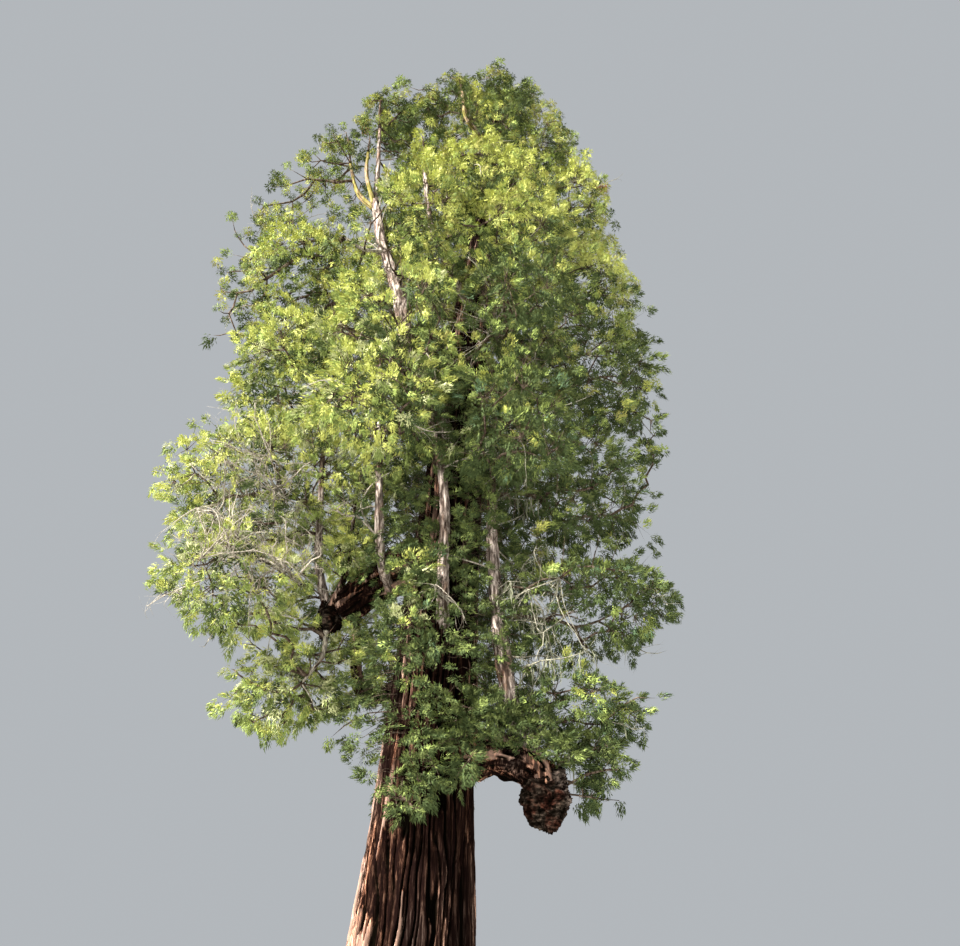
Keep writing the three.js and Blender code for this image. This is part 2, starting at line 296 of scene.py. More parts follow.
def leader_bark(name, gloss, fibre, patch, edge, shades, groove, painted_groove_shade):
    """Bark of two shades in patches, with painted shade in its grooves."""
    made, fibres, face = patched_bark(name, gloss, fibre, patch, edge, shades)
    # Painted shade in the grooves
    made.colour(made.mix(made.window(made.layer("groove"), *groove), face, painted_groove_shade))
    made.bump(fibres, 0.012)
    return made.material


def pale_bark():
    return leader_bark(
        "pale_bark", (0.95, 0.05), (14.0, (1, 1, 0.14), 8, 0.7), (2.2, (1, 1, 0.35)), (0.5, 0.66),
        ("pale", "warm"), (0.15, 0.9), (0.05, 0.035, 0.028, 1),
    )


def mossy_bark():
    return leader_bark(
        "mossy_bark", (1.0, 0.0), (16.0, (1, 1, 0.2), 8, 0.7), (3.0, (1, 1, 0.5)), (0.44, 0.6),
        ("moss", "bare"), (0.2, 1.0), (0.04, 0.03, 0.012, 1),
    )


def burl_bark():
    """Shaggy bark of two shades, with painted shade in its grooves and paler wood where a side is torn open.
    """
    made, shag, face = patched_bark(
        "burl_bark", (1.0, 0.0), (7.0, (0.6, 0.6, 1.5), 8, 0.75), (1.6,), (0.48, 0.6),
        ("burl_grey", "burl_red"),
    )
    # Painted shade in the grooves between the shags
    dark = made.mix(made.window(made.layer("groove"), 0.1, 0.8), face, PAINTED_CREVICE_SHADE)
    made.colour(made.mix(made.layer("torn"), dark, made.ramp(shag, "torn")))
    made.bump(shag, 0.03)
    return made.material


def dead_wood(shade):
    made = Finish(f"{shade}_dead_wood", 0.9, 0.05)
    fibres = made.grain(18.0, (1, 1, 0.25), 6, 0.7)
    made.colour(made.ramp(fibres, shade))
    made.bump(fibres, 0.006)
    return made.material


def bough_bark():
    made = Finish("bough_bark", 1.0, 0.0)
    made.colour(made.ramp(made.grain(11.0, (1, 1, 0.3), 6), "bough"))
    return made.material


def plain(name, colour, roughness=0.75):
    made = Finish(name, roughness, 0.06)
    made.colour((*colour, 1))
    return made.material


# Pieces


def placed(name, data):
    made = bpy.data.objects.new(name, data)
    bpy.context.scene.collection.objects.link(made)
    return made


def mesh_from(name, bm):
    mesh = bpy.data.meshes.new(name)
    bm.to_mesh(mesh)
    bm.free()
    return mesh


def finished(name, mesh, materials, slot, replaced=()):
    """The mesh as a piece of the tree, on its one body and in place of the solids that it replaces."""
    piece = placed(name, mesh)
    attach(piece, "root")
    for material in materials:
        mesh.materials.append(material)
    if replaced:
        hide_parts(*replaced)


# Wood that a hand could touch: trunk, limbs and burls


def clamp(value):
    return min(1.0, max(0.0, value))


def unit(way):
    return way / np.linalg.norm(way)


def skin_noise(around):
    """Noise on the skin of a round stem: how fine it is round the stem, and where along it."""
    c, s = math.cos(around), math.sin(around)
    return lambda fine, along: noise.noise((fine * c, fine * s, along))


def trunk_at(z):
    """Middle and radius of the trunk at a height, in straight runs between its stations."""
    z = min(max(z, TRUNK[0][0]), TRUNK[-1][0])
    for low, high in zip(TRUNK, TRUNK[1:]):
        if z <= high[0]:
            t = (z - low[0]) / (high[0] - low[0])
            return [a + (b - a) * t for a, b in zip(low[1:], high[1:])]
    return list(TRUNK[-1][1:])


def trunk_section(around, z):
    """How far the flared foot stands out from a round trunk, as a share of its radius."""
    foot = math.exp(-z / FLARE_FADE)
    buttress = 0.11 * math.cos(5 * around + 0.7) + 0.12 * max(0, -math.cos(around))
    return 1 + buttress * foot + 0.03 * math.cos(3 * around + z / 3)


def furrows(around, z, ridges, twist=1.0):
    """How deep a place lies in a groove, and how far its strip of bark stands out, both from 0 to 1."""
    rough = skin_noise(around)
    drift = 1.25 * rough(1.9, 0.3 * z) + 0.4 * rough(6, 0.9 * z + 7)
    phase = around / TAU * ridges + twist * drift
    main = abs(math.sin(math.pi * phase))
    fine = abs(math.sin(math.pi * (around / TAU * (ridges * 2 - 5) + twist * 1.4 * drift + 0.3)))
    split = max(0.0, rough(3, 0.45 * z + 19) + 0.3)
    strip = math.floor(phase) % ridges
    own = noise.cell((strip * 3.7 + 0.5, 2.5, 0.5))
    deep = clamp((0.5 + 0.3 * own - main) / 0.2)
    shallow = min(1.0, 1.8 * split) * max(0.0, 1 - fine / 0.4) * 0.8
    ragged = 0.5 * rough(9, 0.8 * z) + 0.25 * rough(23, 2.0 * z)
    length = math.floor(z * (0.3 + 0.35 * abs(own)) + 5 * own + ragged)
    plate = 0.5 + 0.5 * noise.cell((strip * 1.9 + 0.5, length * 2.3 + 0.5, 7.5))
    return min(1.0, max(deep, shallow)), clamp(plate)


def painted_shadow(around, z):
    """How deep the bark lies in the painted shadow of one of the bands, from 0 to 1, ragged along their
    edges.
    """
    rough = skin_noise(around)
    most = 0.0
    for middle, half, depth, foot in PAINTED_SHADOW_BANDS:
        off = abs(math.remainder(around - middle - 0.12 * noise.noise((middle, 0.0, 0.3 * z)), TAU))
        off += 0.12 * rough(9, 0.5 * z + middle)
        start = clamp((z - foot) / 1.5 + 0.8 * noise.noise((5 * around, middle, 0.2 * z)))
        most = max(most, depth * start * clamp((half - off) / 0.12))
    return most


def drawn_stem(name, sides, steps, surface):
    """A tube drawn up ring by ring and closed at its tip.

    surface(around, step) gives a point of a ring, its depth in a groove and its plate.
    """
    bm = bmesh.new()
    turn, groove, plate = (bm.verts.layers.float.new(layer) for layer in ("around", "groove", "plate"))
    ring = bmesh.ops.create_circle(bm, cap_ends=True, segments=sides, radius=1)["verts"]
    for vert in ring:
        vert[turn] = math.atan2(vert.co.y, vert.co.x)
        vert.co, vert[groove], vert[plate] = surface(vert[turn], 0)
    edges = bm.edges[:]
    for step in range(1, steps + 1):
        grown = bmesh.ops.extrude_edge_only(bm, edges=edges)["geom"]
        ring = [g for g in grown if isinstance(g, bmesh.types.BMVert)]
        fresh = set(ring)
        edges = [g for g in grown if isinstance(g, bmesh.types.BMEdge) and fresh.issuperset(g.verts)]
        for vert in ring:
            vert.co, vert[groove], vert[plate] = surface(vert[turn], step)
    middle = sum((v.co for v in ring), Vector()) / len(ring)
    bmesh.ops.pointmerge(bm, verts=ring, merge_co=middle)
    bmesh.ops.recalc_face_normals(bm, faces=bm.faces)
    mesh = mesh_from(name, bm)
    mesh.shade_smooth()
    return mesh


def trunk_mesh():
    heights = list(np.arange(0, TRUNK_FINE_TO, TRUNK_RING_LOW))
    heights += list(np.arange(TRUNK_FINE_TO, TRUNK[-1][0], TRUNK_RING_HIGH))

    def surface(around, step):
        z = float(heights[step])
        x, y, radius = trunk_at(z)
        rough = skin_noise(around)
        groove, plate = furrows(around, z, TRUNK_STRIPS)
        # The painted shadow of the bands sinks the strips there, and the bark finish paints them near black
        plate *= 1 - painted_shadow(around, z)
        swell = 0.02 * rough(2.5, 2.2 * z) + 0.07 * rough(1.3, 0.12 * z + 31)
        relief = PLATE_STEP * (plate - 0.6) - GROOVE_DEPTH * groove + swell + 0.012 * rough(19, 1.6 * z)
        out = radius * trunk_section(around, z) + relief * min(1.0, radius / FULL_RELIEF_RADIUS)
        out = max(out, 0.2 * radius)
        return Vector((x + out * math.cos(around), y + out * math.sin(around), z)), groove, plate

    return drawn_stem("trunk_bark", TRUNK_SIDES, len(heights) - 1, surface)


def smooth_path(points, spacing):
    """Evenly spaced places along a centripetal curve through the points."""
    p = [np.array(q, dtype=float) for q in points]
    p = [2 * p[0] - p[1], *p, 2 * p[-1] - p[-2]]
    dense = []
    for stretch in zip(p, p[1:], p[2:], p[3:]):
        knots = [0.0]
        for a, b in zip(stretch, stretch[1:]):
            knots.append(knots[-1] + np.linalg.norm(b - a) ** 0.5)
        for t in np.linspace(knots[1], knots[2], PATH_STEPS, endpoint=False):
            row = stretch
            for pairs in PATH_BLENDS:
                spans = [(knots[i], knots[j]) for i, j in pairs]
                row = [
                    (high - t) / (high - low) * a + (t - low) / (high - low) * b
                    for (low, high), a, b in zip(spans, row, row[1:])
                ]
            dense.append(row[0])
    dense = np.array([*dense, p[-2]])
    run = np.concatenate([[0], np.cumsum(np.linalg.norm(np.diff(dense, axis=0), axis=1))])
    places = np.linspace(0, run[-1], max(2, round(run[-1] / spacing) + 1))
    return np.stack([np.interp(places, run, dense[:, k]) for k in range(3)], axis=1)


def frames_along(path):
    """Two directions across the path at each of its places, turned as little as can be along it."""
    along = np.gradient(path, axis=0)
    along /= np.linalg.norm(along, axis=1, keepdims=True)
    side = unit(np.cross(along[0], (0.2, 1.0, 0.1)))
    sides = []
    for direction in along:
        side = unit(side - direction * side.dot(direction))
        sides.append(side)
    sides = np.array(sides)
    return sides, np.cross(along, sides)


def limb_mesh(name, limb, seed):
    path = smooth_path(limb.points, LIMB_RING)
    side, up = frames_along(path)
    last = len(path) - 1
    sides = max(18, int(LIMB_SIDES_PER_METRE * limb.root) // 2 * 2)
    ridges = max(5, int(limb.root * LIMB_RIDGES_PER_METRE))
    length = last * LIMB_RING

    def surface(around, step):
        t = step / last
        radius = limb.root + (limb.tip - limb.root) * t
        c, s = math.cos(around), math.sin(around)
        groove, plate = furrows(around, t * length * 2.2 + seed, ridges, 0.7)
        knots = 0.24 * noise.noise((1.4 * c + seed, 1.4 * s, 1.7 * t * length))
        knots += 0.13 * noise.noise((3.4 * c, 3.4 * s + seed, 4.5 * t * length))
        out = radius * (1 + knots - 0.17 * groove + 0.06 * plate)
        return Vector(path[step] + side[step] * (out * c) + up[step] * (out * s)), groove, plate

    return drawn_stem(name, sides, last, surface)


def ridged(place, octaves=3):
    """Sharp-crested noise from 0 to 1."""
    total, share = 0.0, 0.55
    for _ in range(octaves):
        total += share * (1 - 2 * abs(noise.noise(place)))
        place = place * 2.1 + Vector((3.1, 1.7, 5.3))
        share *= 0.5
    return max(0.0, total)


def burl_mesh(name, middle, half, seed, torn_side):
    bm = bmesh.new()
    groove, torn = (bm.verts.layers.float.new(layer) for layer in ("groove", "torn"))
    bmesh.ops.create_icosphere(bm, subdivisions=6, radius=1)
    for vert in bm.verts:
        d = vert.co.normalized()
        lumps = noise.noise(d * 1.5 + Vector((seed, 0, 0)))
        shag = ridged(Vector((d.x * 2.4, d.y * 2.4, d.z * 3.4)) + Vector((0, seed, 0)))
        spikes = ridged(Vector((d.x * 5, d.y * 5, d.z * 11)) + Vector((0, 0, seed)), 2)
        broken = max(0.0, d.dot(torn_side.normalized()) - 0.6) * min(1.0, torn_side.length) * 4
        shards = ridged(Vector((d.x * 7, d.y * 7, d.z * 2.0)) + Vector((seed, 0, 0)), 2)
        out = 0.98 + 0.36 * lumps + 0.2 * (shag - 0.5) + 0.1 * (spikes - 0.4)
        out += min(1.0, broken) * (0.36 * shards - 0.1)
        drawn_in = 1 - 0.42 * max(0.0, -d.z) ** 1.5
        vert[groove] = clamp(1.25 - 1.5 * shag - 0.7 * spikes)
        vert[torn] = min(1.0, broken)
        form = (d.x * drawn_in, d.y * drawn_in, d.z)
        vert.co = Vector([m + h * out * a for m, h, a in zip(middle, half, form)])
    mesh = mesh_from(name, bm)
    mesh.shade_smooth()
    return mesh


def build_wood():
    finishes = {
        "red": (red_bark(), "bark"),
        "pale": (pale_bark(), "pale_bark"),
        "mossy": (mossy_bark(), "mossy_bark"),
        "dead": (dead_wood("bleached"), "dead_wood"),
    }
    finished("trunk_bark", trunk_mesh(), [finishes["red"][0]], "bark", ["trunk"])
    for seed, (name, limb) in enumerate(LIMBS.items()):
        material, slot = finishes[limb.finish]
        finished(f"{name}_bark", limb_mesh(f"{name}_bark", limb, 3.7 * seed), [material], slot, [name])
    knobbed = burl_bark()
    for seed, (name, (middle, half, torn_side)) in enumerate(BURLS.items()):
        mesh = burl_mesh(f"{name}_bark", middle, half, 5.3 * seed, Vector(torn_side))
        finished(f"{name}_bark", mesh, [knobbed], "bark", [name])


# Crown: where the boughs and the tufts go


RNG = np.random.default_rng(SEED)
PICKS = 60000
HUB_PICKS = 9000
HUB_SPACING = 0.92
HUB_INSET = 0.8
HUB_MARGIN = 0.2
INNER_SPACING = 0.85
INNER_DEPTH = (1.3, 3.6)
INNER_FROM_TRUNK = 0.9
INNER_MARGIN = 0.5
CONTACT = 0.3
TUFT_SPACING = 0.308
AIRY_SPACING = 0.42
TUFT_INSET = (0.1, 0.3)
CREVICE_DEPTH = 0.5
CREVICE_REACH = 0.6
# Regions of the crown, and how the names of their masses begin
REGIONS = {
    "crest": ("crest", "left_crest"),
    "upper": ("upper", "left_upper"),
    "shoulder": ("shoulder", "left_shoulder"),
    "broad": ("broad",),
    "middle": ("middle",),
    "lower": ("lower",),
    "left_low": ("left_skirt", "left_hem"),
    "right_low": ("right_skirt", "right_hem", "right_tail"),
    "back_low": ("back_skirt", "back_hem"),
    "trunk_sprouts": ("front_spray",),
}
# Sprouts: carrier, how many, between which heights or shares of its length, and how far out they reach
SPROUTING = (
    ("trunk", 700, (8.0, 21.0), (0.25, 1.4)),
    ("trunk", 420, (21.0, 38.6), (0.2, 1.1)),
    ("right_limb", 170, (0.0, 0.8), (0.1, 0.8)),
    ("right_leader", 130, (0.1, 1.0), (0.1, 0.9)),
    ("left_limb", 60, (0.0, 0.62), (0.15, 0.8)),
    ("left_limb", 8, (0.6, 1.0), (0.15, 0.5)),
    ("front_leader", 60, (0.0, 1.0), (0.15, 0.5)),
    ("left_leader_inner", 30, (0.15, 1.0), (0.15, 0.5)),
)
SPROUT_TRIES = 8
SPROUT_SPACING = 0.26
# Above this height the sprouts stand more evenly round the trunk than on its front
EVEN_FROM = 21
EVEN_SHARES = (0.25, 0.7)
# Tufts beyond the masses, by the habit that sets their colour: middle, spread and how many
STRAYS = {
    "outer": (
        (-0.6, -0.5, 35.3, 0.6, 60), (-0.2, -0.5, 36.4, 0.42, 36), (-1.2, -0.6, 33.4, 0.45, 30),
        (-1.4, -0.4, 31.6, 0.45, 26), (0.8, -0.5, 36.9, 0.4, 30), (-1.5, -0.8, 37.3, 0.14, 5),
        (-1.5, -0.5, 36.2, 0.35, 10), (-2.2, -0.8, 36.6, 0.14, 5), (-2.7, -0.9, 35.8, 0.14, 5),
        (-2.9, -1.0, 34.5, 0.16, 6), (-2.2, -1.0, 34.2, 0.3, 12), (-3.2, -1.1, 32.9, 0.22, 8),
        (-4.2, -1.1, 32.8, 0.16, 6), (-3.7, -0.9, 31.9, 0.4, 10), (-5.0, -1.2, 31.9, 0.16, 6),
        (-4.4, -0.9, 31.0, 0.4, 10), (-5.1, -1.0, 30.3, 0.4, 9), (-5.9, -1.1, 30.7, 0.2, 6),
        (-6.3, -0.5, 29.3, 0.35, 4), (-6.9, -1.0, 28.0, 0.3, 4), (-7.1, -0.7, 26.5, 0.3, 4),
        (-7.1, -1.0, 25.0, 0.3, 4), (-6.7, -0.8, 23.4, 0.35, 5), (-2.0, 0.6, 11.7, 0.7, 70),
        (-3.0, 0.7, 12.4, 0.65, 60), (-2.6, 1.1, 13.9, 0.55, 46), (-3.6, 0.5, 11.4, 0.6, 40),
        (-4.3, 0.4, 12.9, 0.5, 34), (-3.0, 0.6, 16.4, 0.5, 30), (5.3, -0.4, 10.0, 0.35, 12),
        (7.15, 0.0, 19.9, 0.22, 10), (7.2, -0.1, 18.9, 0.22, 10), (7.0, 0.1, 18.1, 0.22, 8),
        (-1.84, -0.6, 15.0, 0.26, 26), (-2.3, -0.5, 14.75, 0.2, 12), (-0.1, -1.4, 13.55, 0.26, 24),
        (2.6, 0.7, 36.6, 0.45, 30), (2.6, 0.5, 38.1, 0.3, 14), (2.9, 0.9, 33.4, 0.5, 36),
        (2.8, 1.1, 30.8, 0.6, 48), (2.5, 1.4, 28.0, 0.6, 48), (2.4, 1.6, 25.2, 0.6, 44),
    ),
    "sprout": (
        (4.75, -0.2, 8.7, 0.4, 40), (4.5, 0.1, 9.3, 0.4, 30), (0.1, -1.75, 7.5, 0.34, 24),
        (0.5, -1.7, 8.3, 0.4, 34), (1.3, -1.5, 8.6, 0.3, 20),
    ),
}
STRAY_HUBS = 0.55
# Tufts between the tiers of masses: tries, spacing, heights, reach to a mass, and how far out they stand
FILL_PICKS = 26000
FILL_SPACING = 0.52
FILL_HEIGHTS = (13.0, 37.5)
FILL_REACH = 1.7
FILL_OUT = (0.5, 5.6)
# The space under the right limb stays open
ARCH = ((1.75, -2.2, 5.0), (3.0, 1.5, 8.9))
# Stretches of limbs that the photo shows bare: shares of the length, and how wide the gap before them is
WINDOWS = (
    ("upper_left_leader", 0.45, 1.0, 0.4),
    ("upper_left_fork_1", 0.0, 0.7, 0.2),
    ("upper_left_fork_2", 0.0, 0.8, 0.2),
    ("upper_left_fork_3", 0.0, 0.8, 0.2),
    ("upper_front_leader", 0.55, 0.9, 0.2),
    ("front_leader", 0.12, 0.22, 0.2),
    ("front_leader", 0.4, 0.6, 0.25),
    ("right_leader", 0.3, 0.4, 0.2),
    ("right_leader", 0.66, 0.85, 0.25),
    ("left_leader_inner", 0.0, 0.15, 0.18),
    ("left_leader_inner", 0.42, 0.55, 0.2),
    ("left_leader_outer", 0.0, 0.2, 0.25),
    ("left_leader_outer", 0.5, 0.7, 0.2),
    ("left_limb", 0.68, 1.0, 0.34),
    ("left_dead_limb", 0.2, 1.0, 0.3),
    ("top_limb", 0.2, 0.7, 0.2),
)
WINDOW_STEP = 0.15


def region_of(node):
    """The region of the crown that a solid belongs to, or None for wood."""
    kind = node.split("_mass")[0]
    return next((region for region, kinds in REGIONS.items() if kind in kinds), None)


def mass_faces():
    """Corners of every face of every mass, and the region that each one belongs to."""
    corners, regions = [], []
    for name, node in frame["nodes"].items():
        region = region_of(name)
        if region is None:
            continue
        mesh = node.data
        mesh.calc_loop_triangles()
        points = np.array([v.co for v in mesh.vertices])
        faces = np.array([t.vertices[:] for t in mesh.loop_triangles])
        corners.append(points[faces])
        regions.append(np.full(len(faces), list(REGIONS).index(region)))
    return np.concatenate(corners), np.concatenate(regions)


def solid_tree(corners):
    points = [Vector(p) for p in corners.reshape(-1, 3)]
    return BVHTree.FromPolygons(points, [(3 * i, 3 * i + 1, 3 * i + 2) for i in range(len(corners))])


def inside(at, solid, margin=0.0):
    """True for a place that lies inside the nearest mass, at least the margin from its surface."""
    near, normal, _, distance = solid.find_nearest(Vector(at))
    return (Vector(at) - near).dot(normal) < 0 and distance >= margin


def spread_out(points, spacing):
    """Indices, in order, of the points that lie at least the spacing from all that were kept before."""
    cells = {}
    near = [(i, j, k) for i in (-1, 0, 1) for j in (-1, 0, 1) for k in (-1, 0, 1)]
    chosen = []
    for index, point in enumerate(points):
        a, b, c = np.floor(point / spacing).astype(int)
        close = [q for i, j, k in near for q in cells.get((a + i, b + j, c + k), ())]
        if close and (((np.array(close) - point) ** 2).sum(axis=1) < spacing * spacing).any():
            continue
        cells.setdefault((a, b, c), []).append(point)
        chosen.append(index)
    return np.array(chosen, dtype=int)


def surface_points(corners, count):
    """Places spread at random over the faces: the place, the way out of the face, and which face."""
    across = np.cross(corners[:, 1] - corners[:, 0], corners[:, 2] - corners[:, 0])
    area = np.linalg.norm(across, axis=1) / 2
    outward = across / (2 * area[:, None] + 1e-12)
    picks = RNG.choice(len(corners), size=count, p=area / area.sum())
    mix = RNG.random((count, 2))
    flip = mix.sum(axis=1) > 1
    mix[flip] = 1 - mix[flip]
    a, b, c = (corners[picks, k] for k in range(3))
    return a + (b - a) * mix[:, :1] + (c - a) * mix[:, 1:], outward[picks], picks


def is_airy(at):
    """The upper left, where the sky shows between single tufts."""
    return at[0] < -2.2 and at[2] > 28.5 - 0.3 * at[1] or at[0] < -6.2 and at[2] > 22


def in_arch(at):
    return all(low < value < high for low, value, high in zip(ARCH[0], at, ARCH[1]))


def level_way():
    around = RNG.random() * TAU
    return np.array([math.cos(around), math.sin(around), 0.0])


def nearest_regions(spots, regions, solid):
    return np.array([regions[solid.find_nearest(Vector(p))[2]] for p in spots])


def fill_places(regions, solid):
    """Tufts in the gaps between one tier of masses and the next: place, way out, region."""
    spots, ways = [], []
    for _ in range(FILL_PICKS):
        z = RNG.uniform(*FILL_HEIGHTS)
        x, y, radius = trunk_at(z)
        way = level_way()
        out = radius + FILL_OUT[0] + (FILL_OUT[1] - FILL_OUT[0]) * RNG.random() ** 0.7
        at = np.array([x, y, z]) + way * out
        if is_airy(at) or inside(at, solid):
            continue
        hits = [solid.ray_cast(Vector(at), Vector((0, 0, up)), FILL_REACH)[0] for up in (1, -1)]
        if all(hit is not None for hit in hits):
            spots.append(at)
            ways.append(way)
    keep = spread_out(np.array(spots), FILL_SPACING)
    spots = np.array(spots)[keep]
    return spots, np.array(ways)[keep], nearest_regions(spots, regions, solid)


def stray_places(regions, solid):
    """Tufts beyond the masses: place, way out, region and habit, and the hubs that carry them."""
    tips, ways, habits, hubs = [], [], [], []
    for habit, groups in STRAYS.items():
        for *middle, spread, count in groups:
            spots = np.array(middle) + RNG.normal(0, spread, (count, 3))
            tips.append(spots)
            ways.append(spots - np.array(middle))
            habits += [habit] * count
            hubs.append(spots[spread_out(spots, STRAY_HUBS)])
    tips = np.concatenate(tips)
    return (tips, np.concatenate(ways), nearest_regions(tips, regions, solid), habits), np.concatenate(hubs)


def crown_places(corners, regions, solid):
    """Hubs where boughs end, and tufts over the open faces and inside. Each: place, way out, region."""
    points, outward, picks = surface_points(corners, PICKS)
    deep = points - outward * RNG.uniform(*INNER_DEPTH, size=(len(points), 1))
    open_air = np.array([
        solid.ray_cast(Vector(p + n * 1e-4), Vector(n), CONTACT)[0] is None for p, n in zip(points, outward)
    ])
    skin, ways, owners = points[open_air], outward[open_air], regions[picks[open_air]]

    heart = skin[:HUB_PICKS] - ways[:HUB_PICKS] * HUB_INSET
    sound = np.flatnonzero([inside(p, solid, HUB_MARGIN) for p in heart])
    keep = sound[spread_out(heart[sound], HUB_SPACING)]
    hubs = (heart[keep], ways[keep], owners[keep])
    crowns = heart[keep] + ways[keep] * HUB_INSET

    near = np.array([trunk_at(z)[:2] for z in deep[:HUB_PICKS, 2]])
    clear = np.linalg.norm(deep[:HUB_PICKS, :2] - near, axis=1) > INNER_FROM_TRUNK
    clear = np.flatnonzero(clear & np.array([inside(p, solid, INNER_MARGIN) for p in deep[:HUB_PICKS]]))
    clear = clear[[not is_airy(p) for p in deep[clear]]]
    within = clear[spread_out(deep[clear], INNER_SPACING)]
    inner = (deep[within], outward[within], regions[picks[within]])

    gap = np.concatenate([
        np.linalg.norm(part[:, None] - crowns[None], axis=2).min(axis=1) for part in np.array_split(skin, 40)
    ])
    depth = RNG.uniform(*TUFT_INSET, len(skin)) + CREVICE_DEPTH * np.minimum(1, gap / CREVICE_REACH) ** 2
    tips = skin - ways * depth[:, None]
    keep = spread_out(tips, TUFT_SPACING)
    airy = np.array([is_airy(p) for p in tips[keep]])
    thin = keep[airy]
    keep = np.concatenate([keep[~airy], thin[spread_out(tips[thin], AIRY_SPACING)]])
    return hubs, inner, (tips[keep], ways[keep], owners[keep])


def stand_on_trunk(low, high):
    """A place in the trunk, a way out and the radius there, or None where the bark stays bare."""
    z = RNG.uniform(low, high)
    x, y, radius = trunk_at(z)
    way = level_way()
    evenly = EVEN_SHARES[z >= EVEN_FROM]
    if RNG.random() > evenly + (1 - evenly) * max(0.0, -way[1] + 0.3 * way[0]):
        return None
    patch = noise.noise((2.6 * way[0], 2.6 * way[1], 0.5 * z)) + 0.3 * (z - 8.6)
    return (np.array([x, y, z]), way, radius) if patch >= -0.05 else None


def stand_on_limb(name, path, low, high):
    """A place in the limb, a way out and its radius. Sprouts of the two great limbs face the camera."""
    t = RNG.uniform(low, high)
    middle = path[int(t * (len(path) - 1))]
    way = RNG.normal(size=3)
    way[2] = abs(way[2]) if name == "right_limb" else way[2]
    way[1] = -abs(way[1]) if name.endswith("limb") else way[1]
    return middle, unit(way), LIMBS[name].root


def sprout_places():
    """Tufts on the trunk and on limbs: place, way out, and the place on the bark that each stands on."""
    kept = []
    for carrier, count, stretch, out in SPROUTING:
        path = smooth_path(LIMBS[carrier].points, WINDOW_STEP) if carrier in LIMBS else None
        made = []
        for _ in range(count * SPROUT_TRIES):
            stand = stand_on_limb(carrier, path, *stretch) if carrier in LIMBS else stand_on_trunk(*stretch)
            if stand is None:
                continue
            middle, way, radius = stand
            reach = RNG.uniform(*out)
            foot = middle + way * radius * 0.8 + np.array([0, 0, 0.4 * reach])
            made.append((middle + way * (radius + reach), way, foot))
        spots = np.array([m[0] for m in made])
        kept += [made[index] for index in spread_out(spots, SPROUT_SPACING)[:count]]
    return kept


def window_points():
    """Places along the bare stretches as seen from the camera, and the width of the gap before each."""
    places, widths = [], []
    for name, low, high, width in WINDOWS:
        path = smooth_path(LIMBS[name].points, WINDOW_STEP)
        part = path[int(low * (len(path) - 1)):int(high * (len(path) - 1)) + 1]
        places.append(part)
        widths.append(np.full(len(part), width))
    return np.concatenate(places) - np.array(CAMERA_PLACE), np.concatenate(widths)


def before_window(at, windows):
    """True where a tuft would hide a bare stretch of a limb from the camera."""
    seen, widths = windows
    to = at - np.array(CAMERA_PLACE)
    share = seen @ to / (seen**2).sum(axis=1)
    miss = np.linalg.norm(to - share[:, None] * seen, axis=1)
    return bool(((share > 0.3) & (share < 1.0) & (miss < widths * share)).any())


# Crown: boughs that grow out to the hubs


BOUGH_STEP = 0.42
ROUTE_COST = 0.38
FALL_COST = 0.55
PIPE_POWER = 0.43
BUNCH_STEM = 0.018
TWIG_STANDS = 3
SHORTEST_TWIG = 0.04
# Above this height the boughs sweep up, and below it they hang
UPSWEPT_FROM = 22
# The wood that boughs may grow from: heights and step on the trunk, and step along a limb
TRUNK_AXIS = (9.0, 38.6, 0.35)
LIMB_AXIS_STEP = 0.3


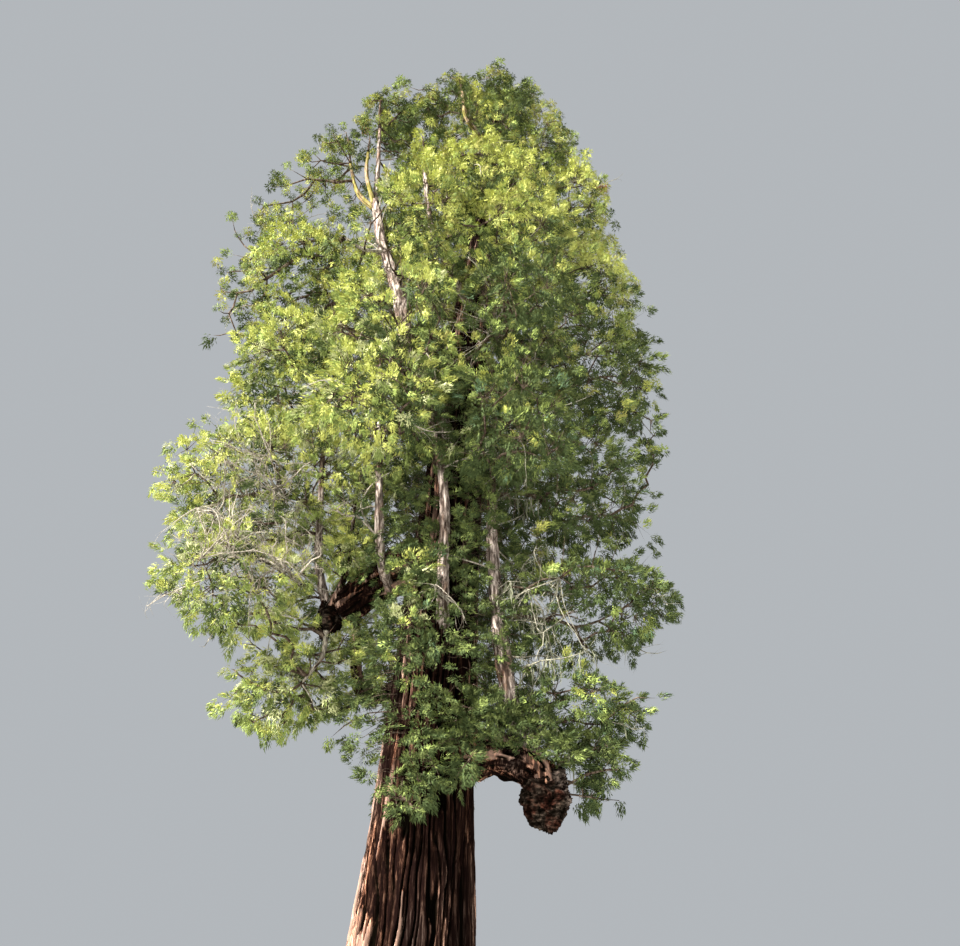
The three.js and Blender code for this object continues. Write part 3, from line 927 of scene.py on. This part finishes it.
class Skeleton:
    """Places along the wood, each with the place that it grew from."""

    def __init__(self, axis, radii):
        self.points = list(axis)
        self.parent = [-1] * len(self.points)
        self.run = [0.0] * len(self.points)
        self.skin = list(radii)
        self.load = [0] * len(self.points)
        self.wood = len(self.points)
        self.least = {}

    def add(self, place, parent, run):
        self.points.append(place)
        self.parent.append(parent)
        self.run.append(run)
        self.skin.append(0.0)
        self.load.append(0)
        return len(self.points) - 1

    def grow_to(self, target, rng):
        """Adds a curved stretch from the cheapest place to the target and returns its last index."""
        points = np.array(self.points)
        gap = np.maximum(0.0, np.linalg.norm(target - points, axis=1) - np.array(self.skin))
        fall = np.maximum(0.0, points[:, 2] - target[2])
        last = int(np.argmin(gap + ROUTE_COST * np.array(self.run) + FALL_COST * fall))
        origin = points[last]
        length = np.linalg.norm(target - origin)
        count = max(1, round(length / BOUGH_STEP))
        sag = (-0.13 if target[2] > UPSWEPT_FROM else 0.09) * length
        sideways = rng.normal(0, 0.07, 3) * length
        for k in range(1, count + 1):
            t = k / count
            bow = math.sin(math.pi * t)
            place = origin + (target - origin) * t + sideways * bow
            place = place + np.array([0, 0, sag * bow]) + rng.normal(0, 0.03, 3) * (k < count)
            last = self.add(place, last, self.run[last] + length / count)
        walk = last
        while walk >= 0:
            self.load[walk] += 1
            walk = self.parent[walk]
        return last

    def run_on(self, last, way, length, radius, rng):
        """A leader's own end: it carries on past its last place and thins out. Returns the new places."""
        count = round(length / BOUGH_STEP)
        fresh = []
        for k in range(1, count + 1):
            way = unit(way + rng.normal(0, 0.09, 3) + np.array([0, 0, 0.05]))
            last = self.add(self.points[last] + way * BOUGH_STEP, last, 0.2 * k)
            self.least[last] = radius * (1 - 0.85 * k / count)
            fresh.append(self.points[last])
        return fresh

    def radius(self, index):
        return max(BUNCH_STEM * max(1, self.load[index]) ** PIPE_POWER, self.least.get(index, 0.0))

    def chains(self):
        """Each bough as one run of places, from its carrier to its tip, thickest branch first."""
        children = {}
        for index in range(self.wood, len(self.points)):
            children.setdefault(self.parent[index], []).append(index)
        starts = [(foot, child) for foot, grown in children.items() if foot < self.wood for child in grown]
        while starts:
            chain = [*starts.pop()]
            while chain[-1] in children:
                onward = sorted(children[chain[-1]], key=lambda i: -self.load[i])
                starts += [(chain[-1], other) for other in onward[1:]]
                chain.append(onward[0])
            yield chain

    def end_of(self, index):
        """The last places along a bough, from which its twigs start."""
        places = []
        while index >= 0 and len(places) < TWIG_STANDS:
            places.append(self.points[index])
            index = self.parent[index]
        return places


def wood_axis():
    """Places and radii along the trunk and the limbs, and the last place of each limb."""
    points, radii, ends = [], [], {}
    for z in np.arange(*TRUNK_AXIS):
        x, y, radius = trunk_at(float(z))
        points.append(np.array([x, y, z]))
        radii.append(radius)
    for name, limb in LIMBS.items():
        path = smooth_path(limb.points, LIMB_AXIS_STEP)
        for k, place in enumerate(path[1:], 1):
            points.append(place)
            radii.append(limb.root + (limb.tip - limb.root) * k / (len(path) - 1))
        ends[name] = len(points) - 1
    return points, radii, ends


def tube_arrays(path, radii, sides):
    """Corners and faces of a tapering tube with a pointed end."""
    side, up = frames_along(path)
    around = np.arange(sides) / sides * TAU
    ring = np.cos(around)[None, :, None] * side[:, None, :] + np.sin(around)[None, :, None] * up[:, None, :]
    corners = (path[:, None, :] + ring * radii[:, None, None])[:-1].reshape(-1, 3)
    faces = []
    rings = len(path) - 1
    for k in range(rings - 1):
        for j in range(sides):
            a, b = k * sides + j, k * sides + (j + 1) % sides
            faces += [(a, b, b + sides), (a, b + sides, a + sides)]
    for j in range(sides):
        faces.append(((rings - 1) * sides + j, (rings - 1) * sides + (j + 1) % sides, rings * sides))
    return np.concatenate([corners, path[-1:]]), np.array(faces)


class Heap:
    """Small shapes gathered up to be joined into one piece."""

    def __init__(self):
        self.corners, self.faces, self.marks, self.count = [], [], [], 0

    def add(self, corners, faces, marks=0):
        self.corners.append(corners)
        self.faces.append(faces + self.count)
        self.marks.append(np.broadcast_to(marks, len(faces)))
        self.count += len(corners)

    def piece(self, name, materials, slot, replaced=(), smooth=False):
        corners = np.concatenate(self.corners)
        faces = np.concatenate(self.faces)
        mesh = bpy.data.meshes.new(name)
        mesh.vertices.add(len(corners))
        mesh.vertices.foreach_set("co", corners.astype(np.float32).ravel())
        mesh.loops.add(3 * len(faces))
        mesh.loops.foreach_set("vertex_index", faces.astype(np.int32).ravel())
        mesh.polygons.add(len(faces))
        mesh.polygons.foreach_set("loop_start", np.arange(0, 3 * len(faces), 3, dtype=np.int32))
        mesh.polygons.foreach_set("material_index", np.concatenate(self.marks).astype(np.int32))
        mesh.update(calc_edges=True)
        if smooth:
            mesh.shade_smooth()
        finished(name, mesh, materials, slot, replaced)


# Crown: tufts of needles


# Kinds of tuft: needles, half size, a needle's length and width, 1 where they point ahead or -1 back, sag.
# A mop is a round umbrella at a top shoot's end, a plume points forward, a shaded tuft fills the inside.
STYLES = {
    "mop": (88, (0.2, 0.2, 0.15), 0.095, 0.037, -1, 0),
    "plume": (80, (0.15, 0.15, 0.24), 0.1, 0.037, 1, 0),
    "drooping": (82, (0.2, 0.075, 0.3), 0.105, 0.037, 1, 0.7),
    "shaded": (70, (0.34, 0.3, 0.34), 0.16, 0.06, -1, 0),
}
VARIANTS = 12
VARIANT_SEED = 70
# Colours of the sprays, each with the next darker one for painted shade and the next brighter one for
# painted light
PALETTE = {
    "sunlit_tip": ((0.4, 0.43, 0.13), "sunlit", "sunlit_tip"),
    "sunlit": ((0.325, 0.345, 0.09), "fresh", "sunlit_tip"),
    "olive": ((0.23, 0.225, 0.07), "green", "sunlit"),
    "fresh": ((0.21, 0.265, 0.075), "green", "sunlit"),
    "green": ((0.13, 0.165, 0.05), "deep", "fresh"),
    "shaded_green": ((0.08, 0.1, 0.034), "deep", "green"),
    "deep": ((0.042, 0.06, 0.022), "deep", "shaded_green"),
    "blue_green": ((0.075, 0.12, 0.065), "deep", "green"),
    "pale": ((0.36, 0.38, 0.2), "green", "pale"),
    "rust": ((0.25, 0.13, 0.05), "olive", "rust"),
}
SIDE_SPRAYS = 5
END_SPRAYS = 2
# The way that each spray of a tuft faces in its own space: five round its side and two over its end
SPRAY_WAYS = np.array([
    (wide * math.cos(TAU * (k + 0.5) / count), wide * math.sin(TAU * (k + 0.5) / count), rise)
    for count, wide, rise in ((SIDE_SPRAYS, 1, 0.1), (END_SPRAYS, 0.3, 0.9)) for k in range(count)
])
# Painted light and shade on each tuft: how much a spray's rise is jittered, and the rises below and above
# which it takes the darker or the brighter colour
RISE_SPREAD = 0.4
PAINTED_SHADE_BELOW = -0.16
PAINTED_LIGHT_ABOVE = 0.42
# Shares of the colours, from the top down: lowest height, then the mix on the left and the mix on the right
# Below 24 m the right mixes deal dark greens as painted shade and the left ones sunlit greens as painted
# light; the sunlit greens above are painted light too
ZONES = (
    (32.0, dict(olive=5, green=4, deep=6), dict(olive=6, green=4, deep=5)),
    (24.0, dict(sunlit=4, olive=5, fresh=1, green=3), dict(sunlit_tip=4, sunlit=6, olive=2)),
    (15.0, dict(sunlit_tip=2, sunlit=4, fresh=3, pale=2), dict(green=5, deep=6, fresh=1, blue_green=1)),
    (0.0, dict(sunlit=4, pale=4, fresh=3, green=1), dict(green=3, deep=6, blue_green=3, fresh=1)),
)
# Tufts inside the masses take the darkest green, and sprouts under the crown shaded greens, both as painted
# shade
HABIT_MIXES = {
    "inner": dict(deep=1),
    "sprout": dict(shaded_green=5, deep=4),
    "between": dict(olive=2, green=3, deep=4),
}
AIRY_MIX = dict(olive=4, green=4, deep=5)
ZONE_MIDDLE = -0.6
RUST_SHARE = 0.0015
TONE_SPREAD = 0.45


def tuft(needles, half, length, width, ahead, sag, rng):
    """Pointed needles laid like shingles over a rounded form along +z, which may hang down in -y.

    Gives three corners for each needle, and which of the tuft's sprays it belongs to.
    """
    half = np.array(half)
    tall = 1 - 1.4 * rng.random(needles) ** 1.3
    around = rng.random(needles) * TAU
    flat = np.sqrt(1 - tall**2)
    ball = np.stack([flat * np.cos(around), flat * np.sin(around), tall], axis=1)
    normal = ball / half
    normal /= np.linalg.norm(normal, axis=1, keepdims=True)
    foot = ball * half * rng.uniform(0.2, 1.0, (needles, 1)) ** 0.6
    pole = np.array([0, 0, float(ahead)])
    along = pole - normal * (normal @ pole)[:, None]
    along /= np.linalg.norm(along, axis=1, keepdims=True) + 1e-9
    side = np.cross(along, normal)
    lift = rng.uniform(0.15, 0.95, (needles, 1))
    way = along * np.cos(lift) + normal * np.sin(lift) + side * rng.normal(0, 0.35, (needles, 1))
    tip = foot + way * length * rng.uniform(0.75, 1.25, (needles, 1))
    across = side * (width / 2)
    corners = np.stack([foot + across, foot - across, tip], axis=1).reshape(-1, 3)
    corners[:, 2] += 0.35 * half[2]
    corners[:, 1] -= sag * np.maximum(0, corners[:, 2]) ** 2
    over_end = SIDE_SPRAYS + END_SPRAYS * around / TAU
    return corners, np.where(tall > 0.6, over_end, SIDE_SPRAYS * around / TAU).astype(int)


def turned_to(way, rng, level):
    """A turn that brings +z onto the way, with a free roll, or little for sprays that lie level."""
    z = unit(way)
    roll = np.array([0.0, 0.0, 1.0]) + rng.normal(0, 0.35, 3) if level else rng.normal(size=3)
    y = unit(roll - z * roll.dot(z))
    return np.stack([np.cross(y, z), y, z], axis=1)


def shade_for(at, habit, tone, rng):
    """The colour of a tuft, dealt from the mix of its part of the crown. A bough's tufts share its tone."""
    if rng.random() < RUST_SHARE:
        return "rust"
    if habit in HABIT_MIXES:
        mix = HABIT_MIXES[habit]
    elif is_airy(at):
        mix = AIRY_MIX
    else:
        height = at[2] + rng.normal(0, 1.2)
        _, left, right = next(zone for zone in ZONES if height >= zone[0] or zone[0] == 0)
        mix = left if at[0] + rng.normal(0, 0.8) + 0.25 * at[1] < ZONE_MIDDLE else right
    names = list(mix)
    shares = np.array([mix[name] for name in names], dtype=float)
    bright = np.array([PALETTE[name][0][0] for name in names])
    shares *= np.exp(tone * (bright - bright.mean()) / 0.08)
    return names[rng.choice(len(names), p=shares / shares.sum())]


def dealt_colours(shade, habit, turn, rng):
    """The colour of each spray of a tuft, with painted light and shade: mostly brighter where it faces up,
    darker where it faces down.
    """
    # Tufts inside the masses deal their sprays round the darkest green, as painted shade
    _, darker, brighter = PALETTE["deep" if habit == "inner" else shade]
    rise = SPRAY_WAYS @ turn[2] + rng.normal(0, RISE_SPREAD, len(SPRAY_WAYS))
    names = [darker if r < PAINTED_SHADE_BELOW else brighter if r > PAINTED_LIGHT_ABOVE else shade for r in rise]
    return [list(PALETTE).index(name) for name in names]


class Foliage:
    """The twigs and the tufts of the whole crown as they grow."""

    def __init__(self, rng):
        self.rng = rng
        self.twigs = {"high": Heap(), "low": Heap()}
        self.rows = [{} for _ in REGIONS]

    def grow(self, at, way, foot, habit, region, tone=0, height="high"):
        """A tuft at the place, and a twig that carries it if it has a foot."""
        rng = self.rng
        top = clamp((at[2] - 20) / 8)
        if habit == "inner":
            style = "shaded"
        elif rng.random() < 0.1 + 0.8 * top:
            style = "mop"
        else:
            style = "plume" if rng.random() < 0.45 else "drooping"
        if foot is not None and np.linalg.norm(at - foot) > SHORTEST_TWIG:
            length = np.linalg.norm(at - foot)
            bow = np.array([0, 0, (-0.16 if style == "mop" else 0.1) * length])
            path = np.array([foot, (foot + at) / 2 + (bow + rng.normal(0, 0.05, 3) * length), at])
            self.twigs[height].add(*tube_arrays(path, np.array([0.013, 0.009, 0.003]), 3))
            way = way + 0.5 * (at - path[1]) / (length + 1e-6)
        rise = 0.9 if style == "mop" else 0.15 if style == "plume" else 0.0
        to = way * (0.6 if style == "mop" else 1.0) + rng.normal(0, 0.28, 3) + np.array([0, 0, rise])
        shape = (style, int(rng.integers(VARIANTS)))
        turn = turned_to(to, rng, style == "drooping")
        marks = dealt_colours(shade_for(at, habit, tone, rng), habit, turn, rng)
        self.rows[region].setdefault(shape, []).append((at, turn, rng.uniform(0.85, 1.2), marks))

    def heap(self, region, shapes):
        """The needles of a region, from each tuft's place, turn, size and colours of its sprays."""
        made = Heap()
        for (style, variant), rows in self.rows[region].items():
            corners, sprays = shapes[style][variant]
            at, turns, sizes, marks = (np.array(column) for column in zip(*rows))
            needles = np.einsum("nij,kj->nki", turns, corners) * sizes[:, None, None] + at[:, None, :]
            faces = np.arange(len(corners) * len(rows)).reshape(-1, 3)
            made.add(needles.reshape(-1, 3), faces, marks[:, sprays].ravel())
        return made


# Crown: dead boughs and lichen


# Tangles of dead boughs: middle, reach, how many cross there, and the share of tufts left out
TANGLES = (
    ((-4.1, -2.4, 15.1), 2.4, 50, 0.75),
    ((3.1, -1.9, 12.1), 2.0, 12, 0.25),
    ((1.1, -1.9, 22.4), 1.9, 8, 0.3),
)
BARE_REACH = 1.25
# The share of boughs that carry a dead one, by height
DEAD_SHARE = 0.5
DEAD_HEIGHTS = (9.0, 12.0, 20.0, 34.0)
DEAD_SHARES = (0.6, 1.0, 0.7, 0.06)
DEAD_OVERHANG = 0.3
DEAD_STEP = 0.28
# To the right of this place the dead boughs stand in shade, painted into their darker colour, are grown over
# with lichen and show thinner
LICHENED_FROM = 1.6
LICHENED_GIRTH = 0.85
BEARDS_BELOW = 17
BEARD_STEPS = 5
# Bare snags on the leaders, how many on each
SNAGS = {
    "right_leader": 16,
    "left_leader_outer": 9,
    "left_leader_inner": 5,
    "front_leader": 6,
    "upper_left_leader": 5,
}
SNAG_STEP = 0.2


def held_in(at, solid, overhang):
    """The place itself, or drawn back to just outside the nearest mass where it strays further out."""
    near, normal, _, distance = solid.find_nearest(Vector(at))
    if (Vector(at) - near).dot(normal) <= 0 or distance < overhang:
        return at
    near = np.array(near)
    return near + (at - near) * (overhang / distance)


class DeadWood:
    """Dead boughs, some bleached and some grown over with lichen and painted darker as shade, and the wisps
    of lichen that hang from them.
    """

    def __init__(self, solid):
        self.solid = solid
        self.rng = np.random.default_rng(SEED + 2)
        self.bleached, self.lichened, self.beards = Heap(), Heap(), Heap()

    def kind_at(self, place):
        return (self.lichened, LICHENED_GIRTH) if place[0] > LICHENED_FROM else (self.bleached, 1.0)

    def bough(self, heap, start, way, length, radius, level=0):
        """A bare crooked bough with side twigs. Returns the places along it."""
        rng = self.rng
        count = max(3, round(length / DEAD_STEP))
        path = [np.array(start)]
        bend = rng.normal(0, 0.2, 3)
        for _ in range(count):
            way = unit(way + bend + rng.normal(0, 0.19, 3))
            path.append(held_in(path[-1] + way * length / count, self.solid, DEAD_OVERHANG))
        path = np.array(path)
        heap.add(*tube_arrays(path, radius * np.linspace(1, 0.25, len(path)), 5 if level == 0 else 3))
        for k in range(1, count if level < 2 else 0):
            if rng.random() < (0.75 if level == 0 else 0.4):
                side = unit(path[k] - path[k - 1]) * 0.6 + rng.normal(0, 0.6, 3)
                thin = radius * (1 - 0.7 * k / count) * 0.55
                self.bough(heap, path[k], unit(side), length * 0.45, thin, level + 1)
        return path

    def beard(self, at, length):
        """A hanging wisp of lichen: a narrow crooked strip of a few faces."""
        drift = self.rng.normal(0, 0.05, 2)
        across = np.array([*unit(self.rng.normal(size=2)), 0])
        corners, faces = [], []
        for k in range(BEARD_STEPS + 1):
            t = k / BEARD_STEPS
            middle = at + np.array([*(drift * t + self.rng.normal(0, 0.012, 2)), -length * t])
            half = across * (0.012 + 0.012 * math.sin(math.pi * t)) * (1 - t) ** 0.5 + 1e-4
            corners += [middle - half, middle + half]
        for a in range(0, 2 * BEARD_STEPS, 2):
            faces += [(a, a + 1, a + 3), (a, a + 3, a + 2)]
        self.beards.add(np.array(corners), np.array(faces))

    def tangle(self, hubs, middle, reach, count):
        """Dead boughs that start at the hubs within reach and cross near the middle."""
        around = hubs[np.linalg.norm(hubs - np.array(middle), axis=1) < reach]
        heap, girth = self.kind_at(middle)
        for _ in range(count):
            start = around[self.rng.integers(len(around))]
            way = np.array(middle) + self.rng.normal(0, 0.45, 3) - start
            length = np.linalg.norm(way) + self.rng.uniform(0.3, 0.9)
            self.bough(heap, start, unit(way), length, girth * self.rng.uniform(0.015, 0.034))

    def beside(self, start, out):
        """Now and then a dead bough beside a living one, with lichen if it is low down."""
        rng = self.rng
        if rng.random() > DEAD_SHARE * float(np.interp(start[2], DEAD_HEIGHTS, DEAD_SHARES)):
            return
        way = unit(out + rng.normal(0, 0.45, 3))
        heap, _ = self.kind_at(start)
        path = self.bough(heap, start, way, rng.uniform(0.9, 1.8), rng.uniform(0.014, 0.026))
        if start[2] < BEARDS_BELOW and rng.random() < 0.3:
            for place in path[2::2]:
                self.beard(place, rng.uniform(0.15, 0.5))

    def snags(self, name, count):
        """Bare snags along a leader, hung with lichen on the right one."""
        rng = self.rng
        path = smooth_path(LIMBS[name].points, SNAG_STEP)
        for _ in range(count):
            start = path[rng.integers(len(path) // 4, len(path))]
            out = 1.0 if start[0] > 0 else -1.0
            way = np.array([out * rng.uniform(0.2, 1.0), rng.uniform(-1.0, 0.2), rng.uniform(-0.2, 0.7)])
            heap, girth = self.kind_at(start)
            length = rng.uniform(1.4, 2.6)
            snag = self.bough(heap, start, unit(way), length, girth * rng.uniform(0.022, 0.04))
            for place in snag[2:] if name == "right_leader" else ():
                for _ in range(2):
                    self.beard(place + rng.normal(0, 0.05, 3), rng.uniform(0.2, 0.8))


def build_dead_wood(carriers, hubs, outward, solid):
    dead = DeadWood(solid)
    for middle, reach, count, _ in TANGLES:
        dead.tangle(hubs, middle, reach, count)
    for start, out in zip(carriers, outward):
        dead.beside(start, out)
    for name, count in SNAGS.items():
        dead.snags(name, count)
    dead.bleached.piece("dead_twigs", [dead_wood("bleached")], "dead_wood", smooth=True)
    # Lichen-grown dead wood, darker for painted shade
    dead.lichened.piece("lichened_twigs", [dead_wood("lichened")], "dead_wood", smooth=True)
    dead.beards.piece("lichen_beards", [plain("lichen", (0.11, 0.115, 0.08), 0.9)], "dead_wood")


def bareness(at):
    """The share of tufts that is left out at a place, because dead boughs stand there."""
    near = [bare for middle, _, _, bare in TANGLES if np.linalg.norm(at - np.array(middle)) < BARE_REACH]
    return max(near, default=0)


def build_crown():
    rng = np.random.default_rng(SEED + 1)
    corners, face_regions = mass_faces()
    solid = solid_tree(corners)
    hubs, inner, tips = crown_places(corners, face_regions, solid)
    axis, radii, ends = wood_axis()
    skeleton = Skeleton(axis, radii)
    clothed_ends = []
    for name, limb in LIMBS.items():
        if limb.run_on:
            end = ends[name]
            way = unit(axis[end] - axis[end - 1])
            clothed_ends += skeleton.run_on(end, way, limb.run_on, limb.tip * 0.92, rng)
    strays, stray_hubs = stray_places(face_regions, solid)
    fills = fill_places(face_regions, solid)
    spots = np.concatenate([hubs[0], stray_hubs])
    targets = np.concatenate([spots, inner[0]])
    reach = np.linalg.norm(targets[:, None] - np.array(axis)[None], axis=2).min(axis=1)
    last = np.zeros(len(targets), dtype=int)
    for index in np.argsort(reach):
        last[index] = skeleton.grow_to(targets[index], rng)
    boughs = Heap()
    for chain in skeleton.chains():
        path = np.array([skeleton.points[i] for i in chain])
        thick = np.array([skeleton.radius(i) for i in chain[1:]])
        boughs.add(*tube_arrays(path, np.concatenate([thick[:1] * 1.15, thick]), 5))
    bark = bough_bark()
    boughs.piece("boughs", [bark], "bark", smooth=True)
    carriers = np.array([skeleton.points[skeleton.parent[last[i]]] for i in range(len(hubs[0]))])
    build_dead_wood(carriers, hubs[0], hubs[1], solid)

    tones = rng.normal(0, TONE_SPREAD, len(spots))
    stands = [skeleton.end_of(last[i]) for i in range(len(spots))]
    foliage = Foliage(rng)
    clothe(foliage, spots, stands, tones, tips, fills, strays)
    clothe_inside(foliage, inner, solid, clothed_ends)

    for height, heap in foliage.twigs.items():
        heap.piece(f"twigs_{height}", [bark], "bark")
    needles = [plain(f"{name}_needles", colour) for name, (colour, _, _) in PALETTE.items()]
    shapes = {
        style: [tuft(*form, np.random.default_rng(VARIANT_SEED + k)) for k in range(VARIANTS)]
        for style, form in STYLES.items()
    }
    for region, name in enumerate(REGIONS):
        replaced = [node for node in frame["nodes"] if region_of(node) == name]
        foliage.heap(region, shapes).piece(f"foliage_{name}", needles, "foliage", replaced)


def clothe(foliage, spots, stands, tones, tips, fills, strays):
    """Tufts over the masses, between their tiers and beyond them, on twigs from the nearest bough's end."""
    rng = foliage.rng
    windows = window_points()
    outer = [(*row, "outer") for row in zip(*tips)]
    between = [(*row, "between") for row in zip(*fills)]
    for at, way, region, habit in [*outer, *between, *zip(*strays)]:
        if in_arch(at) or before_window(at, windows) or rng.random() < bareness(at):
            continue
        near = int(np.argmin(np.linalg.norm(spots - at, axis=1)))
        foot = min(stands[near], key=lambda place: np.linalg.norm(place - at) * rng.uniform(0.7, 1.3))
        height = "high" if at[2] > UPSWEPT_FROM else "low"
        foliage.grow(at, way, foot, habit, region, tones[near], height)


def clothe_inside(foliage, inner, solid, clothed_ends):
    """Darker tufts inside the masses, sprouts on the trunk and the limbs, and the leaders' own ends."""
    rng = foliage.rng
    windows = window_points()
    sprouting = list(REGIONS).index("trunk_sprouts")
    for at, _, region in zip(*inner):
        for _ in range(2):
            spot = at + rng.normal(0, 0.3, 3)
            if inside(spot, solid, INNER_MARGIN) and not before_window(spot, windows):
                foliage.grow(spot, rng.normal(size=3), None, "inner", region)
    for at, way, foot in sprout_places():
        if not in_arch(at) and not before_window(at, windows):
            foliage.grow(at, way, foot, "sprout", sprouting, height="low")
    for place in clothed_ends:
        for _ in range(3):
            at = place + rng.normal(0, 0.3, 3)
            foliage.grow(at, at - place, place, "outer", sprouting)


# Stage

SUN_FROM = (-0.66, -0.52, 0.56)
SUN_STRENGTH = 24.0
SUN_COLOUR = (1.0, 0.96, 0.87)
SUN_SPREAD = math.radians(7)
SKY_COLOUR = (0.9, 0.95, 1.0, 1)
SKY_STRENGTH = 0.5
FLOOR_REACH = 160


def build_stage():
    bm = bmesh.new()
    bmesh.ops.create_grid(bm, x_segments=1, y_segments=1, size=FLOOR_REACH)
    ground = placed("floor", mesh_from("floor", bm))
    ground.data.materials.append(plain("pale_floor", (0.72, 0.72, 0.7), 0.9))
    world = bpy.data.worlds.new("studio")
    world.use_nodes = True
    sky = world.node_tree.nodes["Background"].inputs
    sky["Color"].default_value = SKY_COLOUR
    sky["Strength"].default_value = SKY_STRENGTH
    bpy.context.scene.world = world
    bpy.context.scene.view_settings.view_transform = "Standard"
    key = bpy.data.lights.new("key", "SUN")
    key.energy = SUN_STRENGTH
    key.angle = SUN_SPREAD
    key.color = SUN_COLOUR
    lamp = placed("key", key)
    lamp.rotation_mode = "QUATERNION"
    lamp.rotation_quaternion = Vector(SUN_FROM).to_track_quat("Z", "Y")


def build_camera():
    data = bpy.data.cameras.new("camera")
    data.sensor_width = SENSOR_WIDTH
    data.lens = SENSOR_WIDTH * FOCAL_PIXELS / PHOTO_WIDTH
    data.clip_end = VIEW_DEPTH
    camera = placed("camera", data)
    camera.location = CAMERA_PLACE
    camera.rotation_euler = (math.pi / 2 + CAMERA_PITCH, 0, 0)
    bpy.context.scene.camera = camera


build_stage()
build_camera()
build_wood()
build_crown()
